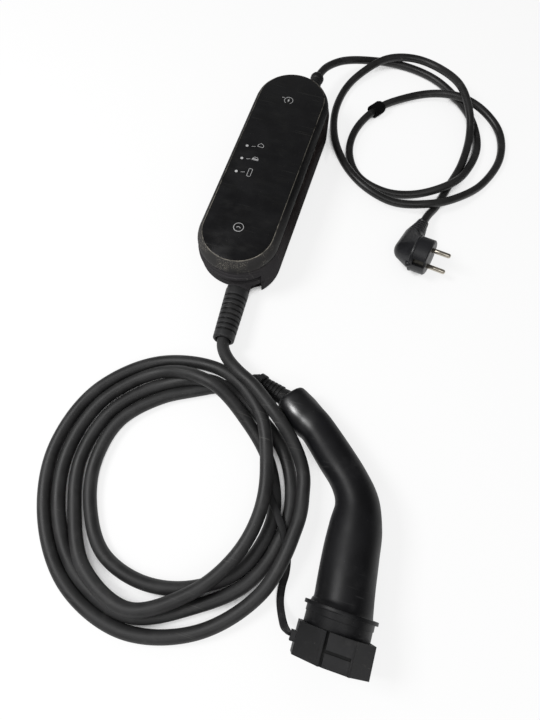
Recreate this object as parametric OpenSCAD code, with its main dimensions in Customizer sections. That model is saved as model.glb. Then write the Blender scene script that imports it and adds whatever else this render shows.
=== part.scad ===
// Portable charger for electric cars: a control box with a mains lead and plug on one
// end and a coiled vehicle lead with a capped connector on the other.
// Millimetres, +Z up. The origin is under the middle of the control box, +Y runs along
// the box towards the mains lead.

/* [Control box] */
// Width of the rear case
case_w = 86; // [80:1:100]
// Length of the rear case
case_l = 266; // [240:1:300]
// Height of the closed box
box_h = 60; // [54:1:70]
// Wall of both shells
wall = 2.5; // [2:0.1:3.5]
// Rounding between the back and the sides
back_r = 8; // [5:0.5:12]
// How far the rear case draws in below the seam
case_taper = 1.5; // [0.5:0.1:3]
// Height of the drawn-in band below the seam
taper_h = 8; // [4:0.5:12]
// How far the bezel rim stands in from the rear case
rim_step = 2; // [1:0.5:4]
// Height of the upright bezel rim
rim_h = 3; // [1:0.5:5]
// Height of the sloped bezel
bezel_h = 10; // [6:0.5:14]
// How far the bezel slopes in
bezel_in = 6; // [4:0.5:9]
// Thickness of the case seal
seal_t = 1; // [0.6:0.1:2]
// How far the lead end of the rear case is cut back from its round end
end_cut = 14; // [8:0.5:18]

/* [Panel] */
// Thickness of the front panel
panel_t = 3; // [2:0.1:4]
// Gap round the front panel
panel_gap = 0.2; // [0.1:0.05:0.5]
// Width of the ledge that carries the panel
ledge_w = 3; // [2:0.5:5]
// Thickness of the ledge that carries the panel
ledge_t = 2.5; // [1.5:0.1:4]
// Distance of the status lights from the middle line
led_x = 26; // [15:0.5:28]
// Distance between two status lights
led_pitch = 17.5; // [10:0.5:22]
// Place of the touch button along the box
touch_y = -87; // [-95:1:-60]

/* [Inside the box] */
// Width of the main board
board_w = 58; // [50:1:60]
// Length of the main board
board_l = 190; // [170:1:200]
// Thickness of both boards
board_t = 1.6; // [1:0.1:2.4]
// Height of the main board above the floor
board_z = 12; // [8:0.5:16]
// Distance of the case screws from the side of the case
post_in = 8.2; // [7.8:0.1:8.8]
// Distance between two case screws along the box
post_pitch = 75; // [60:1:80]
// Radius of a case screw post
post_r = 4.5; // [3.5:0.1:5]
// Radius of a case screw
screw_r = 1.5; // [1:0.1:2]
// Radius of a case screw head
head_r = 3; // [2.5:0.1:3.4]

/* [Leads] */
// Distance of both lead entries from the middle line
entry_x = 11; // [0:0.5:16]
// Diameter of the mains lead
mains_d = 8.8; // [7:0.1:10]
// Diameter of the vehicle lead
lead_d = 12; // [10:0.1:14]
// Height of the mains entry
mains_z = 30; // [26:0.5:32]
// Height of the vehicle lead entry
lead_z = 15; // [14:0.5:18]
// Length of the mains strain relief outside the box
relief_l = 32; // [24:1:40]
// Radius of the lead boot at its root
boot_r = 12; // [10:0.1:13]
// Radius of the lead boot at its mouth
boot_end_r = 10.6; // [9.5:0.1:11.5]
// Length of the lead boot
boot_l = 58; // [50:1:66]
// Number of grooves in the lead boot
boot_grooves = 8; // [5:1:10]
// How far the lead boot swings sideways
boot_lean = 5; // [0:0.5:8]
// How far the lead boot points upwards
boot_tilt = 4; // [0:0.5:8]
// Outer radius of the coiled lead
coil_r = 116; // [110:1:118]
// Radius of the hole in the coiled lead
coil_hole_r = 74; // [60:1:78]
// Height of the coiled lead
coil_h = 13; // [12:0.5:16]

/* [Plug] */
// Radius of the plug face
plug_r = 18.5; // [18:0.1:19]
// Depth of the plug behind its face
plug_depth = 38.5; // [34:0.5:42]
// Distance from the plug's middle to the end of its sleeve
sleeve_end = 46; // [40:0.5:50]
// Radius of a plug pin
pin_r = 2.4; // [2:0.05:2.5]
// Length of a plug pin outside the face
pin_l = 19; // [17:0.1:20]
// Distance between the plug pins
pin_pitch = 19; // [18:0.1:20]

/* [Connector] */
// Distance of the connector's nose from the middle line of the box
nose_x = 186; // [184:0.5:190]
// Place of the flange along the box
flange_y = -387; // [-395:0.5:-385]
// Radius of the flange
flange_r = 29.8; // [28:0.1:30]
// Thickness of the flange
flange_t = 3; // [2:0.1:4]
// Outer radius of the nose
nose_r = 26.8; // [25:0.1:27]
// Wall of the nose
nose_wall = 3; // [2:0.1:4]
// Length of the nose in front of the flange
nose_l = 34.5; // [30:0.5:38]
// Distance across the flats of the cap
cap_flats = 60; // [58:0.5:62]
// Length of the cap
cap_l = 24; // [20:0.5:28]
// End wall of the cap
cap_end = 2.5; // [2:0.1:4]
// Room between the cap and the nose
cap_gap = 0.4; // [0.3:0.05:0.8]
// Width of the cap's tether
tether_w = 6.5; // [5:0.5:8]
// Thickness of the cap's tether
tether_t = 2.4; // [2:0.1:2.6]

/* [Hidden] */
$fn = 64;

// Small overlap that keeps cuts clean, and room between pieces that fit together
eps = 0.1;
fit = 0.2;

// Outline of the box: half discs on both ends of a straight middle
case_r = case_w / 2;
half_mid = (case_l - case_w) / 2;
rim_r = case_r - rim_step;
panel_r = rim_r - bezel_in;
seam_z = box_h - bezel_h - rim_h - seal_t;
front_z = seam_z + seal_t;
slope_z = front_z + rim_h;
ledge_z = box_h - panel_t - ledge_t;
end_y = -(half_mid + case_r - end_cut);
far_y = half_mid + case_r;

// Steps of the lead end from the back up to the seam: top of each step, how far it stands back
end_steps = [[20, end_cut - 1], [seam_z - 11, 3], [seam_z - 7, 0], [seam_z - 3.5, 1.8], [seam_z + 1, 3]];
end_lean = 1.5;
slot_z = seam_z - 19;
slot_h = 8;
slot_x = -6;
slot_back = 10;
ear_x = 32;
ear = [3, 5, 12];
ear_at = [ear_x, -half_mid - 28.5, 10];

// Boards and screws
board_top = board_z + board_t;
display_z = ledge_z - board_t;
post_x = case_r - post_in;
posts = [for (x = [-1, 1], y = [-1 : 1]) [x * post_x, y * post_pitch]];
board_posts = [for (x = [-1, 1], y = [-1, 1]) [x * (board_w / 2 - 6), y * (board_l / 2 - 7)]];
board_screw_l = 8;
relay = [16, 29, 16];
relay_x = -27;
relay_y = [-8, 24];
header = [4, 18];
header_at = [22, -60];
core_r = 1.4;
core_ring = 3;
mains_block_y = 42;
lead_block_y = -84;
lights = [for (k = [-1 : 1]) [-led_x, k * led_pitch - 5]];

// Lead entries
neck_r = 6.2;
boss_r = 11;
boss_y = far_y;
boss_in = 12;
nut_t = 4;
boot_neck_r = 8;
boot_nut_r = boot_neck_r + 4;
collar_out = 13;
collar_r = boot_r - 0.5;
gland_r = boot_nut_r + fit + wall;
gland_l = wall + nut_t + 1;
boot_root = [entry_x, end_y - collar_out, lead_z];
boot_dir = [sin(boot_lean) * cos(boot_tilt), -cos(boot_lean) * cos(boot_tilt), sin(boot_tilt)];
boot_mouth = 10;
groove_from = 9.5;
groove_w = 2;
groove_d = 1.6;
boot_end = boot_root + boot_l * boot_dir;

// Plug: the middle of its face, its turn, its lean and its roll
plug_rim = 0.7;
drum_l = 16;
plug_yaw = -13;
plug_pitch = -9;
plug_roll = -8;
plug_at = [189.5, -38, (plug_r + plug_rim) * cos(plug_pitch) - (drum_l + 1) * sin(plug_pitch)];
pin_turn = 74;
elbow_r = 11.5;
arm_x = elbow_r - plug_depth;
arm_r = 11;
arm_draft = 0.9;
rib_from = 22;
rib_pitch = 4;
clip_w = 7;
clip_d = 4;
shank_l = 8;
shank_r = pin_r - 0.5;

// Connector
nose_z = cap_flats / 2;
flange_front = flange_y - flange_t / 2;
flange_back = flange_y + flange_t / 2;
nose_end = flange_front - nose_l;
shoulder_l = 5;
cap_front = nose_end - 0.5 - cap_end;
cap_lug = 4;
rib_at = 11.6;
rib_w = 1.8;
rib_h = 1.2;
pad_h = 1;
pad_gap = 2.2;
groove_z = 1;
cavity_r = 19;
cavity_l = 22;
carrier_r = nose_r - nose_wall - 0.3;
power_at = [[0, 0], [-16, 0], [16, 0]];
spare_at = [[-8, -13.8], [8, -13.8]];
signal_at = [[-9, 11], [9, 11]];

// Route of the mains lead from the strain relief to the plug
mains_route = [
    [entry_x, boss_y + relief_l, mains_z], [17, 186, 28], [33, 211, 21], [61, 235, 9.5], [99, 245, 4.8],
    [139, 237, 4.5], [170, 217, 4.5], [199, 184, 4.5], [214, 142, 4.5], [208, 100, 7.5], [191, 68, 14],
    [160, 50, 8], [126, 45, 4.8], [92, 57, 4.5], [73, 88, 4.5], [72, 125, 5.5], [88, 160, 8], [114, 188, 6],
    [147, 204, 9], [180, 203, 14], [211, 194, 10], [236, 170, 4.9], [242, 130, 4.5], [228, 88, 4.9],
    [202, 54, 11.5], [174, 35, 14.4], [139, 29, 11], [104, 37, 14], [74, 62, 12.5], [52, 101, 6],
    [41, 142, 4.6], [43, 183, 4.9], [57, 213, 9], [81, 237, 15], [113, 249, 14.4], [147, 240, 16],
    [175, 211, 23.6], [193, 180, 19.5], [202, 150, 9.5], [201, 110, 5], [192, 72, 4.6], [184.8, 43, 5.2],
    [178.2, 25, 9], plug_point([arm_x, sleeve_end, 0])];
mains_rings = 66;
tie_at = [88, 160, 8];
tie_yaw = 56;

// Route of the vehicle lead from the boot to the coil, and from the coil to the connector
start_route = [
    boot_end - boot_mouth * boot_dir, boot_end, [21.5, -200, 22.5], [32, -210, 26.5], [45, -219.5, 29.5],
    [59, -228, 30], [75, -238.8, 31], [94, -253, 30], [111.7, -268, 22], [125.5, -285.5, 13.5], [132, -304, 9.3],
    [134, -326, 9], [133.4, -350, 9.2], [129.8, -375, 9.2], [119, -399, 8], [103, -418.5, 6.5]];
start_rings = 20;
grommet_at = [60, -216, 11.3];
grommet_end = [95.3, -228.5, 17.5];
grommet_r = 7.3;
grommet_seat_r = 8.6;
end_route = [[32, -226.5, 6.5], [46, -220, 8], grommet_at];
end_rings = 5;
coil_at = [15, -336, 0];
hole_at = [24.5, -330, 0];

// Stations of the connector handle: middle, half width, half height
handle_stations = [
    [[94.8, -224.9, 17.7], 12, 12.5], [[96, -225.9, 17.9], 14.8, 15], [[99.5, -228.8, 18.3], 16.3, 16.6],
    [[108, -236, 19.3], 16.3, 17.2], [[117.5, -243.6, 20.3], 15, 17], [[127.2, -250.3, 21.5], 13.9, 16.8],
    [[148.3, -268.7, 24.5], 13.7, 17.2], [[166.4, -285.8, 27.5], 14.9, 18], [[177, -302.2, 29.4], 17.6, 19.4],
    [[181, -322, nose_z], 20, 20.6], [[182.5, -343, nose_z], 21.6, 21.8],
    [[nose_x - 1.5, -366, nose_z], 23.2, 23.2], [[nose_x, -380, nose_z], 24, 24],
    [[nose_x, flange_back, nose_z], 25.5, 25.5]];
handle_rings = 34;
handle_sides = 28;

// Route of the tether on the floor and up to the cap
tether_route = [
    [nose_x - nose_z - cap_lug - 3.5, -414, nose_z + 4], [145.5, -410.5, 18], [140.5, -398, 4], [138, -383, 1.4],
    [128, -349, 1.4], [114, -321, 1.4], [96, -283, 1.4], [79, -248, 1.4], [68, -229, 1.4], [64, -214, 2.6]];
tether_rings = 24;

// A point at parameter t of a smooth curve through the points p
function curve(p, t) =
    let (n = len(p), i = min(floor(t), n - 2), f = t - i,
         a = p[max(i - 1, 0)], b = p[i], c = p[i + 1], d = p[min(i + 2, n - 1)])
    0.5 * (2 * b + (c - a) * f + (2 * a - 5 * b + 4 * c - d) * f * f + (3 * b - a - 3 * c + d) * f * f * f);

// The curve's direction at parameter t
function heading(p, t) =
    let (n = len(p) - 1, h = 0.02, v = curve(p, min(t + h, n)) - curve(p, max(t - h, 0)))
    v / norm(v);

// A closed ring of n points round c, across the direction t
function ring(c, t, a, b, n) =
    let (v = cross(t, [0, 0, 1]), s = v / norm(v), u = cross(s, t))
    [for (k = [0 : n - 1]) c + a * cos(360 * (k + 0.5) / n) * s + b * sin(360 * (k + 0.5) / n) * u];

// A point given in the plug's own frame
function plug_point(p) =
    let (y = p[1] * cos(plug_roll) - p[2] * sin(plug_roll), h = p[1] * sin(plug_roll) + p[2] * cos(plug_roll),
         x = p[0] * cos(plug_pitch) + h * sin(plug_pitch), z = h * cos(plug_pitch) - p[0] * sin(plug_pitch))
    plug_at + [x * cos(plug_yaw) - y * sin(plug_yaw), x * sin(plug_yaw) + y * cos(plug_yaw), z];

// Points of a quarter round from angle a to angle b
function arc(x, z, r, a, b, steps = 4) =
    [for (k = [0 : steps]) [x + r * cos(a + (b - a) * k / steps), z + r * sin(a + (b - a) * k / steps)]];

// A solid skin over rings of points
module loft(rings) {
    m = len(rings);
    n = len(rings[0]);
    polyhedron(
        points = [for (r = rings) each r],
        faces = concat(
            [[for (k = [n - 1 : -1 : 0]) k]],
            [for (i = [0 : m - 2], k = [0 : n - 1]) [i * n + k, i * n + (k + 1) % n, (i + 1) * n + (k + 1) % n]],
            [for (i = [0 : m - 2], k = [0 : n - 1]) [i * n + k, (i + 1) * n + (k + 1) % n, (i + 1) * n + k]],
            [[for (k = [0 : n - 1]) (m - 1) * n + k]]));
}

// A round lead of diameter d along a route
module lead(route, d, count, sides) {
    span = len(route) - 1;
    loft([for (k = [0 : count - 1])
        let (t = span * k / (count - 1))
        ring(curve(route, t), heading(route, t), d / 2, d / 2, sides)]);
}

// The box outline as a solid, from a half profile of radius and height
module pill(profile) {
    for (y = [-1, 1])
        translate([0, y * half_mid, 0])
            rotate_extrude()
                polygon(profile);
    rotate([90, 0, 0])
        linear_extrude(2 * half_mid, center = true) {
            polygon(profile);
            mirror([1, 0])
                polygon(profile);
        }
}

// A flat slab of the box outline
module slab(r, z, h) {
    pill([[0, z], [r, z], [r, z + h], [0, z + h]]);
}

// A turned piece along +Y, from a profile of radius and distance
module along_y(at, profile) {
    translate(at)
        rotate([-90, 0, 0])
            rotate_extrude()
                polygon(profile);
}

// A round bar along +Y
module bar_y(at, r, l) {
    translate(at)
        rotate([-90, 0, 0])
            cylinder(r = r, h = l);
}

// A piece in the plug's frame
module in_plug() {
    translate(plug_at)
        rotate([plug_roll, plug_pitch, plug_yaw])
            children();
}

module front_panel() {
    color("#17181a")
        slab(panel_r, box_h - panel_t, panel_t);
}

module front_shell() {
    color("#2b2c2e")
        difference() {
            union() {
                difference() {
                    pill(concat(
                        [[0, front_z], [rim_r, front_z], [rim_r, slope_z]],
                        [[rim_r - 0.15 * bezel_in, slope_z + 0.35 * bezel_h]],
                        [[rim_r - 0.5 * bezel_in, slope_z + 0.75 * bezel_h]],
                        [[panel_r + 3 * panel_gap, box_h], [0, box_h]]));
                    pill([[0, front_z - eps], [rim_r - wall, front_z - eps], [rim_r - wall, slope_z],
                          [panel_r + 1, ledge_z], [0, ledge_z]]);
                    slab(panel_r - ledge_w, front_z - eps, bezel_h + rim_h);
                    slab(panel_r + panel_gap, box_h - panel_t, panel_t + eps);
                }
                for (p = posts)
                    translate([p[0], p[1], front_z])
                        cylinder(r = post_r - 0.5, h = ledge_z - front_z + eps);
            }
            for (p = posts)
                translate([p[0], p[1], front_z - eps])
                    cylinder(r = screw_r + 0.1, h = ledge_z - front_z);
        }
}

module case_seal() {
    color("#111111")
        difference() {
            slab(rim_r - 1, seam_z, seal_t);
            slab(rim_r - wall, seam_z - eps, seal_t + 2 * eps);
        }
}

module rear_shell() {
    color("#2a2829")
        difference() {
            union() {
                difference() {
                    pill(concat(
                        [[0, 0]], arc(case_r - back_r, back_r, back_r, -90, 0),
                        [[case_r, seam_z - taper_h], [case_r - case_taper, seam_z], [0, seam_z]]));
                    for (k = [0 : len(end_steps) - 1])
                        end_step(end_steps[k][1], step_z(k), end_steps[k][0], -case_w, ear_x, case_r);
                    end_step(slot_back, slot_z, slot_z + slot_h, slot_x, ear_x, case_r);
                    difference() {
                        pill(concat(
                            [[0, wall]], arc(case_r - back_r, back_r, back_r - wall, -90, 0),
                            [[case_r - wall, seam_z - taper_h], [case_r - case_taper - wall, seam_z + eps],
                             [0, seam_z + eps]]));
                        end_step(end_steps[0][1], -eps, slot_z + slot_h + wall, -case_w, case_w, case_r - wall);
                        end_step(end_steps[1][1], slot_z, seam_z + 1, -case_w, case_w, case_r - wall);
                    }
                }
                for (p = posts)
                    translate([p[0], p[1], 0])
                        cylinder(r = post_r, h = seam_z);
                for (p = board_posts)
                    translate([p[0], p[1], wall - eps])
                        cylinder(r = 3.5, h = board_z - wall + eps);
                bar_y([entry_x, boss_y - boss_in, mains_z], boss_r, boss_in);
                bar_y([entry_x, end_y - collar_out, lead_z], collar_r, collar_out + eps);
                bar_y([entry_x, end_y, lead_z], gland_r, gland_l);
                translate(ear_at)
                    cube(ear);
            }
            for (p = posts) {
                translate([p[0], p[1], -eps])
                    cylinder(r = screw_r + 0.3, h = seam_z + 2 * eps);
                translate([p[0], p[1], -eps])
                    cylinder(r = head_r + 0.3, h = 4 + eps);
            }
            for (p = board_posts)
                translate([p[0], p[1], wall])
                    cylinder(r = 1.3, h = board_z);
            bar_y([entry_x, boss_y - boss_in - eps, mains_z], neck_r + fit, boss_in + 2 * eps);
            bar_y([entry_x, end_y - collar_out - eps, lead_z], boot_neck_r + fit, collar_out + wall + 2 * eps);
            bar_y([entry_x, end_y + wall, lead_z], boot_nut_r + fit, 3 * nut_t);
        }
}

// What a step of the lead end takes off between two heights and two places across: all that
// lies past a round end of radius r that is moved back
module end_step(back, from_z, to_z, from_x, to_x, r) {
    difference() {
        translate([from_x, -half_mid - 2 * case_w, from_z])
            cube([to_x - from_x, 2 * case_w + back, to_z - from_z]);
        translate([end_lean, back - half_mid, from_z - eps])
            cylinder(r = r, h = to_z - from_z + 2 * eps);
    }
}

// Height at which step k of the lead end starts
function step_z(k) = k > 0 ? end_steps[k - 1][0] : -eps;

module case_screws() {
    color("#8d9094")
        for (p = posts)
            translate([p[0], p[1], 0]) {
                translate([0, 0, 1])
                    cylinder(r = head_r, h = 3);
                translate([0, 0, 4 - eps])
                    cylinder(r = screw_r, h = ledge_z - 6);
            }
}

module main_board() {
    color("#1f5a36")
        difference() {
            translate([-board_w / 2, -board_l / 2, board_z])
                cube([board_w, board_l, board_t]);
            for (p = board_posts)
                translate([p[0], p[1], board_z - eps])
                    cylinder(r = 1.6, h = board_t + 2 * eps);
        }
}

module board_screws() {
    color("#8d9094")
        for (p = board_posts)
            translate([p[0], p[1], board_top]) {
                cylinder(r = 2.6, h = 2);
                translate([0, 0, -board_screw_l])
                    cylinder(r = 1.2, h = board_screw_l + eps);
            }
}

module relays() {
    color("#20242b")
        for (y = relay_y)
            translate([relay_x, y, board_top])
                cube(relay);
}

module current_sensor() {
    color("#3c3f36")
        along_y([entry_x, 62, mains_z],
            [[8, 0], [mains_z - board_top, 0], [mains_z - board_top, 12], [8, 12]]);
}

module supply_transformer() {
    color("#9a7b3c")
        translate([-28, 60, board_top])
            cube([21, 20, 18]);
}

module filter_capacitors() {
    color("#26323f")
        for (y = [-30, -46, -62])
            translate([-18, y, board_top])
                cylinder(r = 6.5, h = 22);
}

module control_chips() {
    color("#18191b")
        for (p = [[2, -12], [2, -36]])
            translate([p[0], p[1], board_top])
                cube([12, 12, 1.6]);
}

module mains_terminal() {
    color("#3b6b4a")
        translate([entry_x - 13, mains_block_y - 12, board_top])
            cube([26, 12, mains_z - board_top + 5]);
}

module lead_terminal() {
    color("#3b6b4a")
        translate([entry_x - 15, lead_block_y, board_top])
            cube([30, 12, lead_z - board_top + 6]);
}

module display_board() {
    color("#1f5a36")
        difference() {
            slab(panel_r - ledge_w + 1.5, display_z, board_t);
            for (p = posts)
                translate([p[0], p[1], display_z - eps])
                    cylinder(r = post_r, h = board_t + 2 * eps);
        }
}

module status_lights() {
    color("#d8d8d4")
        for (p = lights)
            translate([p[0], p[1], ledge_z])
                cylinder(r = 1.7, h = box_h - panel_t - ledge_z);
}

module touch_sensor() {
    color("#b08d4f")
        translate([0, touch_y, ledge_z])
            cylinder(r = 6, h = box_h - panel_t - ledge_z);
}

module link_header() {
    color("#202020")
        translate([header_at[0], header_at[1], board_top])
            cube([header[0], header[1], display_z - board_top]);
}

module mains_cores() {
    color("#7a5232")
        for (a = [90, 210, 330])
            bar_y([entry_x + core_ring * cos(a), mains_block_y, mains_z + core_ring * sin(a)], core_r,
                boss_y - boss_in - nut_t - mains_block_y);
}

module lead_cores() {
    color("#7a5232")
        for (k = [-2 : 2])
            bar_y([entry_x + 3.2 * k, end_y + wall + nut_t, lead_z + 1.5], core_r,
                lead_block_y - end_y - wall - nut_t);
}

module mains_relief() {
    color("#242425")
        along_y([entry_x, boss_y, mains_z], concat(
            [[0, -boss_in - nut_t], [neck_r, -boss_in - nut_t], [neck_r, 0], [9.5, 0], [9.5, 2.5]],
            [for (k = [0 : 4]) each [[8.2 - 0.3 * k, 3.5 + 4 * k], [8.2 - 0.3 * k, 5.8 + 4 * k],
                                     [6.9 - 0.2 * k, 6.1 + 4 * k], [6.9 - 0.2 * k, 7.2 + 4 * k]]],
            [[7.2, relief_l - 7.5], [7.8, relief_l - 5.5], [7.8, relief_l - 3], [6.8, relief_l - 0.8],
             [5.6, relief_l], [0, relief_l]]));
}

module relief_nut() {
    color("#3a3b3d")
        difference() {
            bar_y([entry_x, boss_y - boss_in - nut_t, mains_z], 9.5, nut_t);
            bar_y([entry_x, boss_y - boss_in - nut_t - eps, mains_z], neck_r + fit, nut_t + 2 * eps);
        }
}

module mains_lead() {
    color("#3a3835")
        lead(mains_route, mains_d, mains_rings, 8);
}

module cable_tie() {
    color("#0d0d0e")
        translate(tie_at)
            rotate([0, 0, tie_yaw]) {
                rotate([0, 90, 0])
                    rotate_extrude()
                        polygon([[mains_d / 2 + 0.4, -7], [mains_d / 2 + 3.2, -7], [mains_d / 2 + 3.2, 7],
                                 [mains_d / 2 + 0.4, 7]]);
                translate([-5, mains_d / 2 + 2, -3])
                    cube([11, 6, 3]);
            }
}

// A piece among the pins and clips, which stand turned against the plug's arm
module in_face() {
    in_plug()
        rotate([pin_turn, 0, 0])
            children();
}

module plug_body() {
    color("#2c2c2f")
        difference() {
            in_plug()
                union() {
                    rotate([0, -90, 0])
                        rotate_extrude()
                            polygon([[0, 0], [plug_r - 1.2, 0], [plug_r, 1.2], [plug_r, drum_l - 1.5],
                                     [plug_r + plug_rim, drum_l - 0.8], [plug_r + plug_rim, drum_l + 0.8],
                                     [plug_r - 0.5, drum_l + 1.6], [0, drum_l + 1.6]]);
                    hull() {
                        translate([-drum_l, 0, 0])
                            rotate([0, -90, 0])
                                cylinder(r = plug_r - 0.8, h = 1.6);
                        translate([arm_x, -1.5, 0])
                            sphere(r = elbow_r, $fn = 32);
                        bar_y([arm_x, rib_from - 1, 0], arm_r, 1);
                    }
                    along_y([arm_x, 0, 0], concat(
                        [[0, 0], [arm_r, 0]],
                        [for (k = [0 : 4]) let (r = arm_r - 0.1 - arm_draft * k, y = rib_from + rib_pitch * k)
                            each [[r, y], [r - 0.4, y + 2.4], [r - 1.3, y + 2.7], [r - 1.4, y + 3.7]]],
                        [[6.6, sleeve_end - 3.5], [6.2, sleeve_end - 0.8], [5.6, sleeve_end], [0, sleeve_end]]));
                    translate([-drum_l - 1, 1 - plug_r, 0])
                        sphere(r = 3.4);
                }
            in_face()
                for (z = [-1, 1])
                    translate([-drum_l + 3, -clip_w / 2, z > 0 ? plug_r - clip_d : -plug_r - 1])
                        cube([drum_l - 3 + eps, clip_w, clip_d + 1]);
            in_face()
                for (y = [-1, 1])
                    translate([-shank_l, y * pin_pitch / 2, 0])
                        rotate([0, 90, 0])
                            cylinder(r = shank_r, h = shank_l + eps);
        }
}

module plug_pins() {
    color("#b9b3a6")
        in_face()
            for (y = [-1, 1])
                translate([0, y * pin_pitch / 2, 0])
                    rotate([0, 90, 0])
                        rotate_extrude()
                            polygon([[0, -shank_l], [shank_r, -shank_l], [shank_r, 0], [pin_r, 0],
                                     [pin_r, pin_l - 1.6], [pin_r - 0.6, pin_l - 0.5], [pin_r - 1.4, pin_l],
                                     [0, pin_l]]);
}

module earth_clips() {
    color("#b9b3a6")
        in_face()
            for (z = [-1, 1])
                translate([-drum_l + 3, 0.8 - clip_w / 2, z * (plug_r - clip_d + 0.6) - 0.6])
                    cube([drum_l - 5, clip_w - 1.6, 1.2]);
}

module lead_boot() {
    groove_pitch = (boot_l - groove_from - 4) / boot_grooves;
    function skin(y) = boot_r + (boot_end_r - boot_r) * y / boot_l;
    color("#39393a")
        union() {
            bar_y([entry_x, boot_root[1] - 2, lead_z], boot_neck_r, 2 + collar_out + wall + nut_t);
            translate(boot_root)
                rotate([0, 0, boot_lean])
                    rotate([90 - boot_tilt, 0, 0])
                        rotate_extrude()
                            polygon(concat(
                                [[0, 0], [boot_r - 1, 0], [boot_r, 1]],
                                [for (k = [0 : boot_grooves - 1])
                                    let (y = groove_from + k * groove_pitch)
                                    each [[skin(y), y], [skin(y) - groove_d, y + 0.3],
                                          [skin(y) - groove_d, y + groove_w - 0.3],
                                          [skin(y + groove_w), y + groove_w]]],
                                [[boot_end_r, boot_l - 1], [boot_end_r - 1, boot_l], [lead_d / 2 + 2, boot_l],
                                 [lead_d / 2 + 1.6, boot_l - boot_mouth], [0, boot_l - boot_mouth]]));
        }
}

module boot_nut() {
    color("#3a3b3d")
        difference() {
            bar_y([entry_x, end_y + wall, lead_z], boot_nut_r, nut_t);
            bar_y([entry_x, end_y + wall - eps, lead_z], boot_neck_r + fit, nut_t + 2 * eps);
        }
}

module lead_start() {
    color("#58585a")
        lead(start_route, lead_d, start_rings, 10);
}

module lead_coil() {
    edge = 4;
    color("#58585a")
        difference() {
            translate(coil_at)
                rotate_extrude()
                    polygon(concat([[0, 0]], arc(coil_r - edge, edge, edge, -90, 0, 3),
                        arc(coil_r - edge, coil_h - edge, edge, 0, 90, 3), [[0, coil_h]]));
            translate(hole_at - [0, 0, eps])
                cylinder(r = coil_hole_r, h = coil_h + 2 * eps);
            translate([0, 0, -eps])
                linear_extrude(tether_t + 0.6 + eps)
                    tether_plan(tether_w + 2);
        }
}

// The tether's way on the floor as a flat outline of width w
module tether_plan(w) {
    n = len(tether_route) - 1;
    polygon([for (q = [1, -1], k = [0 : n - 2])
        let (t = q > 0 ? n - k : k + 2, h = heading(tether_route, t), half = w / 2 / norm([h[0], h[1]]))
        [tether_route[t][0] + q * half * h[1], tether_route[t][1] - q * half * h[0]]]);
}

module lead_end() {
    color("#58585a")
        lead(end_route, lead_d, end_rings, 10);
}

// A piece along the grommet, from its thin end
module along_grommet() {
    v = grommet_end - grommet_at;
    translate(grommet_at)
        rotate([0, 0, atan2(v[1], v[0])])
            rotate([0, 90 - asin(v[2] / norm(v)), 0])
                children();
}

module connector_grommet() {
    l = norm(grommet_end - grommet_at);
    color("#2f2f31")
        along_grommet()
            rotate_extrude()
                polygon(concat(
                    [[0, 0], [lead_d / 2 + 0.6, 0], [lead_d / 2 + 0.9, 1], [lead_d / 2 + 1, 8]],
                    [for (k = [0 : 4])
                        let (r = grommet_r + 0.3 * k, y = 9 + 4 * k)
                        each [[r, y], [r + 0.3, y + 2.4], [r - 0.8, y + 2.7], [r - 0.7, y + 3.7]]],
                    [[grommet_seat_r, l - 5], [grommet_seat_r, l], [0, l]]));
}

module tether_ring() {
    color("#3a3a3c")
        along_grommet()
            difference() {
                union() {
                    translate([0, 0, 1.5])
                        cylinder(r = lead_d / 2 + 2.6, h = 6);
                    translate([-lead_d / 2 - 5, -3, 1.5])
                        cube([4, 6, 6]);
                }
                translate([0, 0, 1])
                    cylinder(r = lead_d / 2 + 1.2, h = 7);
            }
}

module connector_handle() {
    middles = [for (s = handle_stations) s[0]];
    widths = [for (s = handle_stations) [s[1], s[2], 0]];
    span = len(handle_stations) - 1;
    color("#232326")
        difference() {
            loft([for (k = [0 : handle_rings - 1])
                let (t = span * k / (handle_rings - 1), w = curve(widths, t))
                ring(curve(middles, t), k < handle_rings - 1 ? heading(middles, t) : [0, -1, 0],
                    w[0], w[1], handle_sides)]);
            bar_y([nose_x, flange_back - eps, nose_z], cavity_r, cavity_l);
            along_grommet()
                translate([0, 0, norm(grommet_end - grommet_at) - 6])
                    cylinder(r = grommet_seat_r + 0.2, h = 6 + eps);
        }
}

module connector_nose() {
    color("#202124")
        difference() {
            union() {
                bar_y([nose_x, flange_front, nose_z], flange_r, flange_t);
                bar_y([nose_x, nose_end, nose_z], nose_r, nose_l + eps);
                bar_y([nose_x, flange_front - shoulder_l, nose_z], nose_r + 0.6, shoulder_l + eps);
                bar_y([nose_x, flange_back - eps, nose_z], cavity_r - 0.3, 10);
            }
            bar_y([nose_x, nose_end - eps, nose_z], nose_r - nose_wall, nose_l + eps);
            bar_y([nose_x, flange_front - 1, nose_z], 16, 20);
        }
}

// The carrier's and the contacts' places across the nose
module at_contacts(places) {
    for (p = places)
        translate([nose_x + p[0], 0, nose_z + p[1]])
            children();
}

module contact_carrier() {
    color("#35363a")
        difference() {
            union() {
                bar_y([nose_x, flange_front - 4, nose_z], carrier_r, 4);
                bar_y([nose_x, flange_front - 30, nose_z], carrier_r - 2, 30);
            }
            at_contacts(concat(power_at, spare_at))
                bar_y([0, flange_front - 30 - eps, 0], 3.9, 30 + 2 * eps);
            at_contacts(signal_at)
                bar_y([0, flange_front - 30 - eps, 0], 2.5, 30 + 2 * eps);
        }
}

module sleeve_contact(r, bore) {
    difference() {
        bar_y([0, flange_front - 29, 0], r, 28.5);
        bar_y([0, flange_front - 29 - eps, 0], bore, 20);
    }
}

module power_contacts() {
    color("#c9c4b4")
        at_contacts(power_at)
            sleeve_contact(3.7, 3);
}

module signal_contacts() {
    color("#c9c4b4")
        at_contacts(signal_at)
            sleeve_contact(2.3, 1.5);
}

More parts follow.
